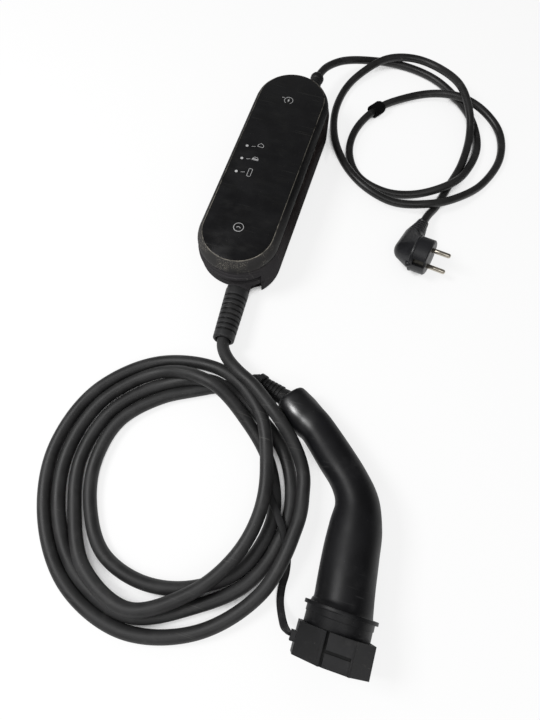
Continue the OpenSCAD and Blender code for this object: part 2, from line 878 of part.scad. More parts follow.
module connector_cap() {
    flat_r = cap_flats / 2;
    color("#4a4a4c")
        difference() {
            union() {
                translate([nose_x, cap_front, nose_z])
                    rotate([-90, 22.5, 0])
                        cylinder(r = flat_r / cos(22.5), h = cap_l, $fn = 8);
                for (x = [-1, 1])
                    translate([nose_x + x * rib_at - rib_w / 2, cap_front, nose_z + flat_r - eps])
                        cube([rib_w, cap_l, rib_h + eps]);
                translate([nose_x - rib_at, cap_front + cap_l / 2, nose_z + flat_r - eps])
                    cube([2 * rib_at, cap_l / 2, pad_h + eps]);
                translate([nose_x - flat_r - cap_lug, cap_front + 8, nose_z])
                    cube([cap_lug + eps, 8, 8]);
            }
            bar_y([nose_x, cap_front + cap_end, nose_z], nose_r + cap_gap, cap_l);
            translate([nose_x - rib_at + rib_w / 2, cap_front - eps, nose_z + flat_r - groove_z])
                cube([pad_gap, cap_l + 2 * eps, 2 * cap_lug]);
            translate([nose_x - rib_at + rib_w / 2, cap_front + cap_l / 2 - pad_gap, nose_z + flat_r - groove_z])
                cube([2 * rib_at - rib_w, pad_gap, 2 * cap_lug]);
        }
}

module cap_tether() {
    span = len(tether_route) - 1;
    // The strap stands on edge at the cap and lies flat on the floor
    function lie(t) = min(1, max(0, (t - 0.3) / 1.4));
    color("#4a4a4c")
        loft([for (k = [0 : tether_rings - 1])
            let (t = span * k / (tether_rings - 1), c = curve(tether_route, t), h = heading(tether_route, t),
                 v = cross(h, [0, 0, 1]), s = v / norm(v), u = cross(s, h), q = 90 - 90 * lie(t),
                 w = cos(q) * s + sin(q) * u, n = cos(q) * u - sin(q) * s)
            [for (p = [[1, 1], [-1, 1], [-1, -1], [1, -1]])
                c + p[0] * tether_w / 2 * w + p[1] * tether_t / 2 * n]]);
}

front_panel();
front_shell();
case_seal();
rear_shell();
case_screws();
main_board();
board_screws();
relays();
current_sensor();
supply_transformer();
filter_capacitors();
control_chips();
mains_terminal();
lead_terminal();
display_board();
status_lights();
touch_sensor();
link_header();
mains_cores();
lead_cores();
mains_relief();
relief_nut();
mains_lead();
cable_tie();
plug_body();
plug_pins();
earth_clips();
lead_boot();
boot_nut();
lead_start();
lead_coil();
lead_end();
connector_grommet();
connector_handle();
connector_nose();
contact_carrier();
power_contacts();
signal_contacts();
connector_cap();
cap_tether();
tether_ring();
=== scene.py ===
import math

import bmesh
import bpy
import numpy as np
from mathutils import Matrix, Vector


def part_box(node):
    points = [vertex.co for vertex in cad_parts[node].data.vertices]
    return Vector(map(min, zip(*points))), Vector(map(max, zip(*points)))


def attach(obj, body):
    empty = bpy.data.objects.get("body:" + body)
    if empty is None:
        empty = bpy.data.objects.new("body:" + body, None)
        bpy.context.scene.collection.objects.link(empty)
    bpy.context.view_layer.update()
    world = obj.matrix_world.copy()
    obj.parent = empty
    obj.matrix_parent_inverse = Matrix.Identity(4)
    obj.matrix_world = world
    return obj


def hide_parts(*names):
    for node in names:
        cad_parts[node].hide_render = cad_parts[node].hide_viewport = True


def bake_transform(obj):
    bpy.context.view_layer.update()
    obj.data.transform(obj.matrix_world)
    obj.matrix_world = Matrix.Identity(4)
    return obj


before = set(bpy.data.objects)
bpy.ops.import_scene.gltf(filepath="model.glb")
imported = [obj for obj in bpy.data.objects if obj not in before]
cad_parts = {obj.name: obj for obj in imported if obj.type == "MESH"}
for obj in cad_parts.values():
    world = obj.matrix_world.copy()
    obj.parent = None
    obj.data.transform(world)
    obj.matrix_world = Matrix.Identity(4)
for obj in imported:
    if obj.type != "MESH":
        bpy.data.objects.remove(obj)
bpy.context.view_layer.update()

bl_info = {
    "name": "Portable EV charger",
    "version": (1, 0, 0),
    "blender": (4, 5, 0),
    "location": "View3D > Sidebar > Charger",
    "description": "Builds the looks of a portable charger with its leads, plug and connector",
    "category": "Object",
}

MM = 0.001
ROOT, CAP = "charger", "cap"
MAINS_D, LEAD_D = 8.8, 12.0
# The control box: its panel's face, and half the length between the middles of its round ends
PANEL_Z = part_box("front_panel")[1].z / MM
CASE_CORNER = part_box("rear_shell")[1]
HALF_MID = (CASE_CORNER.y - CASE_CORNER.x) / MM
# The lead boot: root, direction, first groove, number of grooves and distance between them
BOOT_ROOT, BOOT_DIR = (11.0, -132.0, 15.0), (0.0869, -0.9938, 0.0698)
GROOVE_FROM, GROOVES, GROOVE_PITCH = 9.5, 8, 44.5 / 8
# Grooves on the cap: their ranges across and along, and the height that they start from
CAP_GROOVE_X, CAP_PAD_X = (175.2, 177.6), (175.2, 196.8)
CAP_GROOVE_Y, CAP_TOP = (-416.3, -413.9), 58.5
# The tether strap: width, thickness and what its corners lose
STRAP_W, STRAP_T, STRAP_CUT = 6.5, 2.4, (0.45, 0.5)
# The cable tie: place on the mains lead, direction of the lead there, and half the strap's width
TIE_AT, TIE_YAW, TIE_HALF = (88.0, 160.0, 8.0), 56.0, 7.2
# How the tie is wound: first radius and growth, first and last angle, and where its end comes loose
TIE_R, TIE_GROWS = 4.7, 2.2
TIE_FROM, TIE_TO = -60.0, 640.0
TIE_LOOSE_FROM, TIE_LOOSE = 560.0, 3.0
# The camera that was fitted to the photograph
LENS, SENSOR, CAMERA_AT = 27.0, 36.0, (0.1249, -0.3805, 0.5)
CAMERA_RIGHT, CAMERA_AHEAD = (0.9528, 0.3037, 0.0), (-0.1138, 0.3569, -0.9272)
# Studio lights: setting of their power, name, place, aim and size
LIGHTS = (("key", "Window", (-0.7, -0.4, 1.1), (0.1, -0.25, 0.0), 0.42),
          ("top", "Top", (0.35, -1.0, 1.25), (0.08, -0.15, 0.0), 0.9))
FLOOR_HALF = 4.0

# Printed icons on the panel, in millimetres
ICON_RISE = 0.03
LIGHT_X, LIGHT_YS, LIGHT_R = -25.4, (12.2, -5.1, -22.9), 1.5
HOUSE = [(-14.6, 14.6), (-14.6, 17.2), (-11.6, 19.4), (-8.6, 17.2), (-8.6, 14.6)]
CAR = [(-15, -3.6), (-14.2, -1.2), (-13, 0.2), (-10.2, 0.2), (-8.8, -1.4), (-8.4, -3.6)]
CAR_SILL = [(-14.2, -2.3), (-9, -2.3)]
BATTERY = [(-13.6, -24.8), (-13.6, -16.2), (-12.9, -15.5), (-10.6, -15.5), (-9.9, -16.2), (-9.9, -24.8),
           (-10.6, -25.5), (-12.9, -25.5)]
BOLT = [(-2.2, 88.6), (-3.8, 85.6), (-2.7, 85.6), (-2.9, 83.2), (-1.2, 86.2), (-2.2, 86.2)]
BOLT_DASH = [(-10.6, 88.4), (-7.8, 88.8)]

# Routes in millimetres, listed as in the part's source
MAINS_ROUTE = [
    (11, 165, 30), (17, 186, 28), (33, 211, 21), (61, 235, 9.5), (99, 245, 4.8), (139, 237, 4.5),
    (170, 217, 4.5), (199, 184, 4.5), (214, 142, 4.5), (208, 100, 7.5), (191, 68, 14), (160, 50, 8),
    (126, 45, 4.8), (92, 57, 4.5), (73, 88, 4.5), (72, 125, 5.5), (88, 160, 8), (114, 188, 6), (147, 204, 9),
    (180, 203, 14), (211, 194, 10), (236, 170, 4.9), (242, 130, 4.5), (228, 88, 4.9), (202, 54, 11.5),
    (174, 35, 14.4), (139, 29, 11), (104, 37, 14), (74, 62, 12.5), (52, 101, 6), (41, 142, 4.6),
    (43, 183, 4.9), (57, 213, 9), (81, 237, 15), (113, 249, 14.4), (147, 240, 16), (175, 211, 23.6),
    (193, 180, 19.5), (202, 150, 9.5), (201, 110, 5), (192, 72, 4.6), (184.8, 43, 5.2), (178.2, 25, 9),
    (174.74, 12.16, 11.08)]
START_ROUTE = [
    (15.2, -180, 18.3), (16, -189.6, 19), (20.5, -200, 21.5), (30, -210.5, 25.5), (43.5, -220, 29),
    (59, -228, 30.5), (75, -238.8, 31), (94, -253, 30), (111.7, -268, 22.5), (125, -285.5, 16.5),
    (131, -304, 15.5)]
# The coil's passes: radius and height at every step, clockwise from the first angle
COIL_AT, COIL_FIRST, COIL_STEP = (22.0, -335.0), 60, 30
COIL_PASSES = [
    [None, None, (111.5, 16), (115.2, 13), (118.3, 8), (120.8, 6), (119.3, 6), (117.6, 6), (121.2, 6),
     (125, 6), (125, 6), (117, 14)],
    [(100, 23), (83, 22), (78.5, 21.5), (80, 19), (88, 18.5), (103, 18), (98.5, 14), (91.2, 6), (93.8, 6),
     (98.2, 6), (100.5, 6), (104, 17)],
    [(100, 8), (103, 6), (105.5, 6), (103, 6), (99, 6), (108.4, 6), (107, 6), (104.3, 8), (107.2, 7.5),
     (111.6, 7.5), (111.4, 10), (97.5, 28)],
    [(86.5, 14), (86.5, 6), (90.5, 6), (90, 6), (84, 6), (81.5, 6), (81, 6), (77.2, 6), (79.4, 7),
     (85.2, 7), (88.7, 6.5), None]]
END_ROUTE = [(14, -237.2, 6), (30, -230, 6), (46, -222.3, 7.8), (60, -216, 11.3), (66, -218.1, 12.3)]
TETHER_ROUTE = [
    (64, -214, 2.6), (68, -227.5, 1.4), (75, -240, 1.4), (81.5, -256, 1.4), (86, -275, 1.4), (90, -291, 1.6),
    (94.5, -303, 6), (101, -313, 13), (110, -323, 14.2), (118, -333, 14.2), (125, -343, 13.6),
    (133.5, -359, 6), (136.5, -372, 1.6), (136.6, -384, 1.4), (139, -396.6, 3), (145.4, -409.5, 17),
    (150, -413.2, 31), (153, -414, 36.5)]
# Stations of the handle: middle, half width, half height, squareness of the section
HANDLE_STATIONS = [
    (94.8, -224.9, 17.7, 10.8, 11.5, 2.5), (95.6, -225.6, 17.8, 13.6, 14, 2.5),
    (98.6, -228, 18.2, 15.4, 16, 2.4), (108, -236, 19.3, 17.7, 17.4, 2.2),
    (118.5, -242.3, 20.3, 16.7, 17, 2.3), (128.5, -248.7, 21.5, 15.8, 17, 2.4),
    (149.1, -267.8, 24.5, 16.4, 17.4, 2.4), (166.9, -285.4, 27.5, 16.5, 18.4, 2.3),
    (177.4, -302.1, 29.4, 18.8, 19.8, 2.1), (181, -322, 30, 22.1, 21.4, 2), (182.5, -343, 30, 23.2, 22.4, 2),
    (184.5, -366, 30, 23.6, 23.4, 2), (186, -380, 30, 24, 24, 2), (186, -385.5, 30, 25.5, 25.5, 2)]
HANDLE_SIDES = 72
# The place on the handle's heel that hands have polished
HEEL_AT = (105.5, -242.5, 27.0)


# Paths

def smooth_path(points, step, samples=24):
    """Evenly spaced points of a smooth curve through the given ones."""
    pts = np.array(points, float)
    last = len(pts) - 1
    out = []
    for i in range(last):
        a, b, c, d = pts[max(i - 1, 0)], pts[i], pts[i + 1], pts[min(i + 2, last)]
        for f in np.arange(samples) / samples:
            out.append(0.5 * (2 * b + (c - a) * f + (2 * a - 5 * b + 4 * c - d) * f * f
                              + (3 * b - a - 3 * c + d) * f ** 3))
    out.append(pts[-1])
    out = np.array(out)
    along = np.r_[0, np.cumsum(np.linalg.norm(np.diff(out, axis=0), axis=1))]
    marks = np.linspace(0, along[-1], max(2, int(round(along[-1] / step)) + 1))
    return np.stack([np.interp(marks, along, out[:, k]) for k in range(out.shape[1])], 1)


def metres(point):
    return tuple(c * MM for c in point)


def coil_route():
    """The vehicle lead from the boot, round the coil's passes and on to the grommet."""
    points = list(START_ROUTE)
    for row in COIL_PASSES:
        for i, place in enumerate(row):
            if place:
                radius, height = place
                a = math.radians(COIL_FIRST - COIL_STEP * i)
                points.append((COIL_AT[0] + radius * math.cos(a), COIL_AT[1] + radius * math.sin(a), height))
    return points + END_ROUTE


def settle(path, d, strap, rounds=160):
    """Moves the strands of a coil apart until none lies inside another or in the strap; its ends stay."""
    neighbours, spacing, push_share = 7, 1.01, 0.35
    strap_gap, strap_share = 1.7, 0.5
    kept, smoothing, floor_gap = 0.995, 0.45, 0.05
    start = path.copy()
    index = np.arange(len(path))
    apart = np.abs(index[:, None] - index[None]) > neighbours
    ease = np.linspace(0.2, 1, 6)
    free = np.ones(len(path))
    free[:4] = free[-3:] = 0
    free[4:10] = ease
    free[-9:-3] = ease[::-1]
    for _ in range(rounds):
        delta = path[:, None] - path[None]
        dist = np.linalg.norm(delta, axis=2) + 1e-9
        gap = np.where(apart, np.clip(spacing * d - dist, 0, None), 0)
        push = (delta / dist[..., None] * gap[..., None] * push_share).sum(1)
        push /= np.sqrt(np.maximum((gap > 0).sum(1), 1))[:, None]
        path = path + push * free[:, None]
        delta = path[:, None] - strap[None]
        dist = np.linalg.norm(delta, axis=2) + 1e-9
        near = dist.argmin(1)
        gap = np.clip(d / 2 + strap_gap - dist[index, near], 0, None)
        path += delta[index, near] / dist[index, near][:, None] * (strap_share * gap * free)[:, None]
        moved = path - start
        bend = np.zeros_like(moved)
        bend[1:-1] = (moved[:-2] + moved[2:]) / 2 - moved[1:-1]
        path = start + kept * (moved + smoothing * bend * free[:, None])
        path[:, 2] = np.maximum(path[:, 2], d / 2 + floor_gap)
    return path


# Meshes

def new_object(name, mesh, material=None):
    obj = bpy.data.objects.new(name, mesh)
    bpy.context.scene.collection.objects.link(obj)
    if material:
        mesh.materials.clear()
        mesh.materials.append(material)
    return obj


def build_mesh(name, verts, faces):
    mesh = bpy.data.meshes.new(name)
    mesh.from_pydata([tuple(v) for v in verts], [], faces)
    bm = bmesh.new()
    bm.from_mesh(mesh)
    bmesh.ops.recalc_face_normals(bm, faces=bm.faces)
    bm.to_mesh(mesh)
    bm.free()
    return mesh


def shade(mesh, angle):
    mesh.polygons.foreach_set("use_smooth", [True] * len(mesh.polygons))
    mesh.set_sharp_from_angle(angle=math.radians(angle))
    mesh.update()


def bake(obj):
    """The object with its modifiers made into plain mesh."""
    bpy.context.view_layer.update()
    mesh = bpy.data.meshes.new_from_object(obj.evaluated_get(bpy.context.evaluated_depsgraph_get()))
    old = obj.data
    obj.modifiers.clear()
    obj.data = mesh
    mesh.name = obj.name
    if old.users == 0:
        bpy.data.meshes.remove(old)
    return obj


def loft_mesh(name, rings):
    rings = np.array(rings, float)
    m, n = rings.shape[:2]
    faces = [tuple(range(n - 1, -1, -1)), tuple((m - 1) * n + k for k in range(n))]
    for i in range(m - 1):
        for k in range(n):
            j = (k + 1) % n
            faces.append((i * n + k, i * n + j, (i + 1) * n + j, (i + 1) * n + k))
    return build_mesh(name, rings.reshape(-1, 3) * MM, faces)


def frames_along(path):
    """Direction, side and up at each point of a path."""
    t = np.gradient(path, axis=0)
    t /= np.linalg.norm(t, axis=1)[:, None]
    s = np.cross(t, (0, 0, 1))
    s /= np.linalg.norm(s, axis=1)[:, None]
    return t, s, np.cross(s, t)


def own(obj, slot, body, *nodes):
    """Hides the nodes that a finished piece stands for and hangs it on its body. The slot is not used."""
    if nodes:
        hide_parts(*nodes)
    if body:
        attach(obj, body)
    return obj


def refine(node, finish, slot, width, body=ROOT):
    """A CAD node with welded faces, softened edges and its material."""
    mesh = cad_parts[node].data.copy()
    for name in ("custom_normal", "sharp_edge", "sharp_face"):
        if mesh.attributes.get(name):
            mesh.attributes.remove(mesh.attributes[name])
    bm = bmesh.new()
    bm.from_mesh(mesh)
    bmesh.ops.remove_doubles(bm, verts=bm.verts, dist=2e-6)
    bmesh.ops.dissolve_limit(bm, angle_limit=math.radians(0.4), verts=bm.verts, edges=bm.edges)
    bmesh.ops.recalc_face_normals(bm, faces=bm.faces)
    bm.to_mesh(mesh)
    bm.free()
    obj = new_object(node + "_look", mesh, look(finish))
    if width:
        bevel = obj.modifiers.new("Soft edges", "BEVEL")
        bevel.width = width * MM
        bevel.segments = 2
        bevel.limit_method = "ANGLE"
        bevel.angle_limit = math.radians(32)
        bake(obj)
    shade(obj.data, 40)
    return own(obj, slot, body, node)


# Nodes

class Net:
    """Short notation for building node trees."""

    def __init__(self, tree):
        self.tree = tree
        tree.nodes.clear()

    def add(self, kind, inputs=None, **props):
        node = self.tree.nodes.new(kind)
        for key, value in props.items():
            setattr(node, key, value)
        for key, value in (inputs or {}).items():
            self.put(node.inputs[key], value)
        return node

    def put(self, socket, value):
        if isinstance(value, bpy.types.NodeSocket):
            self.tree.links.new(value, socket)
        else:
            socket.default_value = value

    def math(self, op, *values, clamp=False):
        node = self.add("ShaderNodeMath", operation=op, use_clamp=clamp)
        for socket, value in zip(node.inputs, values):
            self.put(socket, value)
        return node.outputs[0]

    def ramp(self, value, low, high, a=0.0, b=1.0):
        node = self.add("ShaderNodeMapRange", {"Value": value, "From Min": low, "From Max": high, "To Min": a,
                                               "To Max": b}, interpolation_type="SMOOTHSTEP")
        return node.outputs["Result"]

    def mix(self, factor, a, b):
        node = self.add("ShaderNodeMix", data_type="RGBA")
        for key, value in (("Factor_Float", factor), ("A_Color", a), ("B_Color", b)):
            self.put(next(s for s in node.inputs if s.identifier == key), value)
        return next(s for s in node.outputs if s.identifier == "Result_Color")

    def noise(self, vector, scale, detail=3.0, rough=0.55):
        node = self.add("ShaderNodeTexNoise", {"Vector": vector, "Scale": scale, "Detail": detail,
                                               "Roughness": rough})
        return node.outputs["Fac"]

    def place(self):
        return self.add("ShaderNodeTexCoord").outputs["Object"]

    def inside(self, value, low, high):
        above, below = self.math("GREATER_THAN", value, low), self.math("LESS_THAN", value, high)
        return self.math("MULTIPLY", above, below)


def socket(tree, name, way, kind, default=None):
    item = tree.interface.new_socket(name, in_out=way, socket_type=kind)
    if default is not None:
        item.default_value = default


def wear_group():
    """Handling marks on plastic and rubber: slow tone changes, hairline scratches, dust and a fine grain."""
    tree = bpy.data.node_groups.new("Handling marks", "ShaderNodeTree")
    socket(tree, "Scratches", "INPUT", "NodeSocketFloat", 0.5)
    socket(tree, "Dust", "INPUT", "NodeSocketFloat", 0.5)
    socket(tree, "Grain Scale", "INPUT", "NodeSocketFloat", 1500.0)
    for name in ("Tone", "Marks", "Height"):
        socket(tree, name, "OUTPUT", "NodeSocketFloat")
    net = Net(tree)
    inp = net.add("NodeGroupInput").outputs
    place = net.place()
    tone = net.noise(place, 34.0, 5.0)
    patches = net.ramp(net.noise(place, 22.0, 2.0), 0.42, 0.68)
    lines = None
    for turn, seed in ((0.5, 0.0), (2.1, 3.0), (1.2, 7.0)):
        moved = net.add("ShaderNodeMapping", {"Vector": place, "Location": (seed, seed, seed),
                                              "Rotation": (0.0, 0.0, turn), "Scale": (14.0, 620.0, 90.0)})
        line = net.ramp(net.noise(moved.outputs[0], 1.0, 1.0), 0.71, 0.76)
        lines = line if lines is None else net.math("MAXIMUM", lines, line)
    lines = net.math("MULTIPLY", net.math("MULTIPLY", lines, patches), inp["Scratches"])
    cells = net.add("ShaderNodeTexVoronoi", {"Vector": place, "Scale": 300.0})
    chance = net.add("ShaderNodeSeparateColor", {"Color": cells.outputs["Color"]}).outputs[0]
    size = net.math("MULTIPLY", chance, 0.17)
    spot = net.math("LESS_THAN", cells.outputs["Distance"], net.math("SUBTRACT", size, 0.06))
    film = net.ramp(net.noise(place, 60.0, 6.0, 0.7), 0.5, 0.85)
    dust = net.math("MULTIPLY", net.math("MAXIMUM", spot, net.math("MULTIPLY", film, 0.35)), inp["Dust"])
    grain = net.noise(place, inp["Grain Scale"], 2.0)
    height = net.math("SUBTRACT", grain, net.math("MULTIPLY", lines, 0.6))
    marks = net.math("MAXIMUM", lines, dust, clamp=True)
    net.add("NodeGroupOutput", {"Tone": tone, "Marks": marks, "Height": height})
    return tree


def outline_group():
    """Distance from the control box's middle line, and the place along and up the box."""
    tree = bpy.data.node_groups.new("Box outline", "ShaderNodeTree")
    for name in ("Radius", "Across", "Along", "Up"):
        socket(tree, name, "OUTPUT", "NodeSocketFloat")
    net = Net(tree)
    place = net.place()
    x, y, z = net.add("ShaderNodeSeparateXYZ", {"Vector": place}).outputs
    over = net.math("MAXIMUM", net.math("SUBTRACT", net.math("ABSOLUTE", y), HALF_MID * MM), 0.0)
    radius = net.math("SQRT", net.math("ADD", net.math("MULTIPLY", x, x), net.math("MULTIPLY", over, over)))
    net.add("NodeGroupOutput", {"Radius": radius, "Across": x, "Along": y, "Up": z})
    return tree


GROUPS = {}


def group(net, name):
    makers = {"Handling marks": wear_group, "Box outline": outline_group}
    if name not in GROUPS:
        GROUPS[name] = makers[name]()
    node = net.add("ShaderNodeGroup")
    node.node_tree = GROUPS[name]
    return node


def surface(name, color, rough, tone=0.35, scratches=0.4, dust=0.4, grain=1500.0, bump=0.08,
            mark=(0.16, 0.155, 0.145), metal=0.0, spec=0.5, extra=None):
    """A material with the shared handling marks; extra may change its colour, gloss and shine."""
    mat = bpy.data.materials.new(name)
    mat.use_nodes = True
    mat.diffuse_color = (*color, 1.0)
    net = Net(mat.node_tree)
    marks = group(net, "Handling marks")
    for key, value in (("Scratches", scratches), ("Dust", dust), ("Grain Scale", grain)):
        marks.inputs[key].default_value = value
    dark = tuple(c * (1 - tone) for c in color) + (1.0,)
    light = tuple(min(1.0, c * (1 + tone)) for c in color) + (1.0,)
    tint = net.mix(net.ramp(marks.outputs["Tone"], 0.3, 0.7), dark, light)
    gloss = net.ramp(marks.outputs["Tone"], 0.25, 0.75, max(0.03, rough - 0.07), min(1.0, rough + 0.07))
    if extra:
        tint, gloss, *shine = extra(net, tint, gloss)
        spec = shine[0] if shine else spec
    tint = net.mix(marks.outputs["Marks"], tint, (*mark, 1.0))
    gloss = net.math("ADD", gloss, net.math("MULTIPLY", marks.outputs["Marks"], 0.25), clamp=True)
    dents = net.add("ShaderNodeBump", {"Height": marks.outputs["Height"], "Strength": bump,
                                       "Distance": 0.0004})
    shader = net.add("ShaderNodeBsdfPrincipled", {"Base Color": tint, "Roughness": gloss,
                                                  "Normal": dents.outputs["Normal"]})
    shader.inputs["Metallic"].default_value = metal
    net.put(shader.inputs["Specular IOR Level"], spec)
    net.add("ShaderNodeOutputMaterial", {"Surface": shader.outputs[0]})
    return mat


# Colours of wear, dust and film, and of painted shade and sheen
BARE_PLASTIC = (0.24, 0.222, 0.19, 1.0)
# Lighter bezel at the lead end: dust and painted sheen
BEZEL_DUST_AND_SHEEN = (0.036, 0.035, 0.0345, 1.0)
# Painted shade: brown for the side of the rear shell away from the window
SHADED_SIDE_BROWN = (0.0098, 0.0069, 0.0067, 1.0)
# Lighter rear shell at the lead end: dust and painted sheen
END_DUST_AND_SHEEN = (0.042, 0.04, 0.042, 1.0)
SEAM_DUST = (0.09, 0.08, 0.07, 1.0)
# Painted shade for the grooves of the lead boot
BOOT_GROOVE_SHADE = (0.0015, 0.0015, 0.0015, 1.0)
# Painted shade for the grooves on the cap
CAP_GROOVE_SHADE = (0.0012, 0.0012, 0.0012, 1.0)
WIPED_FILM = (0.014, 0.0137, 0.0135, 1.0)


def worn_edge(net, tint, gloss):
    """Bare pale plastic along the panel's edge, most at the lead end, and a lead end made lighter with dust
    and painted sheen.
    """
    box = group(net, "Box outline").outputs
    place = net.place()
    line = net.math("MULTIPLY", net.ramp(box["Radius"], 0.0362, 0.0356),
                    net.ramp(box["Up"], 0.0583, 0.0596))
    patchy = net.ramp(net.noise(place, 95.0, 6.0, 0.7), 0.34, 0.6)
    end = net.ramp(box["Along"], -0.02, -0.115, 0.42, 1.0)
    worn = net.math("MULTIPLY", net.math("MULTIPLY", line, patchy), end)
    speckle = net.math("MULTIPLY", net.ramp(net.noise(place, 1100.0, 3.0), 0.52, 0.64),
                       net.ramp(net.noise(place, 60.0, 4.0), 0.42, 0.6))
    speckle = net.math("MULTIPLY", speckle, net.ramp(box["Along"], -0.08, -0.12))
    worn = net.math("MAXIMUM", worn, net.math("MULTIPLY", speckle, 0.6))
    # The lead end is lighter: dust, and painted sheen in place of highlights
    dust_and_sheen = net.mix(net.ramp(box["Along"], -0.03, -0.12), tint, BEZEL_DUST_AND_SHEEN)
    return net.mix(worn, dust_and_sheen, BARE_PLASTIC), gloss


def case_tint(net, tint, gloss):
    """The rear shell has painted shade in brown on the side away from the window, dust under the seam, and a
    lead end made lighter with dust and painted sheen.
    """
    box = group(net, "Box outline").outputs
    place = net.place()
    # Painted shade: the side away from the window turns brown
    side = net.ramp(box["Across"], 0.015, 0.042)
    tint = net.mix(side, tint, SHADED_SIDE_BROWN)
    # The lead end is lighter: dust, and painted sheen in place of highlights
    end = net.math("MULTIPLY", net.ramp(box["Along"], -0.03, -0.125),
                   net.ramp(box["Radius"], 0.0355, 0.0395))
    tint = net.mix(end, tint, END_DUST_AND_SHEEN)
    seam = net.math("MULTIPLY", net.ramp(box["Up"], 0.041, 0.0455),
                    net.ramp(net.noise(place, 120.0, 6.0), 0.45, 0.75))
    return net.mix(net.math("MULTIPLY", seam, 0.35), tint, SEAM_DUST), gloss


def boot_groove_shade(net, tint, gloss):
    """Painted shade in the grooves of the lead boot, counted along its axis."""
    place = net.place()
    from_root = net.add("ShaderNodeVectorMath", {0: place, 1: metres(BOOT_ROOT)}, operation="SUBTRACT")
    along = net.add("ShaderNodeVectorMath", {0: from_root.outputs[0], 1: BOOT_DIR}, operation="DOT_PRODUCT")
    along = along.outputs["Value"]
    first = GROOVE_FROM * MM
    turn = net.math("MODULO", net.math("SUBTRACT", along, first), GROOVE_PITCH * MM)
    groove = net.math("MULTIPLY", net.ramp(turn, 0.0, 0.0004), net.ramp(turn, 0.0024, 0.0019))
    groove = net.math("MULTIPLY", groove, net.inside(along, first, first + GROOVES * GROOVE_PITCH * MM))
    # The grooves are darkened with painted shade
    return net.mix(groove, tint, BOOT_GROOVE_SHADE), gloss


def polished_heel(net, tint, gloss):
    """The handle's heel is rubbed smooth, the rest keeps its satin."""
    place = net.place()
    away = net.add("ShaderNodeVectorMath", {0: place, 1: metres(HEEL_AT)}, operation="DISTANCE")
    smooth = net.ramp(away.outputs["Value"], 0.028, 0.01)
    gloss = net.math("SUBTRACT", gloss, net.math("MULTIPLY", smooth, 0.16))
    return tint, gloss, net.ramp(smooth, 0.0, 1.0, 0.3, 1.0)


def cap_groove_shade(net, tint, gloss):
    """Painted shade in the two grooves on the cap's top."""
    x, y, z = net.add("ShaderNodeSeparateXYZ", {"Vector": net.place()}).outputs
    across, pad, along = ([edge * MM for edge in ends] for ends in (CAP_GROOVE_X, CAP_PAD_X, CAP_GROOVE_Y))
    groove = net.math("MULTIPLY", net.inside(x, *pad), net.inside(y, *along))
    groove = net.math("MAXIMUM", groove, net.inside(x, *across))
    groove = net.math("MULTIPLY", groove, net.math("GREATER_THAN", z, CAP_TOP * MM))
    # The grooves are darkened with painted shade
    return net.mix(net.math("MULTIPLY", groove, 0.9), tint, CAP_GROOVE_SHADE), gloss


def panel_film(net, tint, gloss):
    """Wiped film and smudges on the glossy panel."""
    moved = net.add("ShaderNodeMapping", {"Vector": net.place(), "Rotation": (0.0, 0.0, 0.7),
                                          "Scale": (20.0, 55.0, 20.0)})
    film = net.ramp(net.noise(moved.outputs[0], 1.6, 5.0, 0.65), 0.42, 0.75)
    tint = net.mix(net.math("MULTIPLY", film, 0.3), tint, WIPED_FILM)
    return tint, net.math("ADD", gloss, net.math("MULTIPLY", film, 0.12))


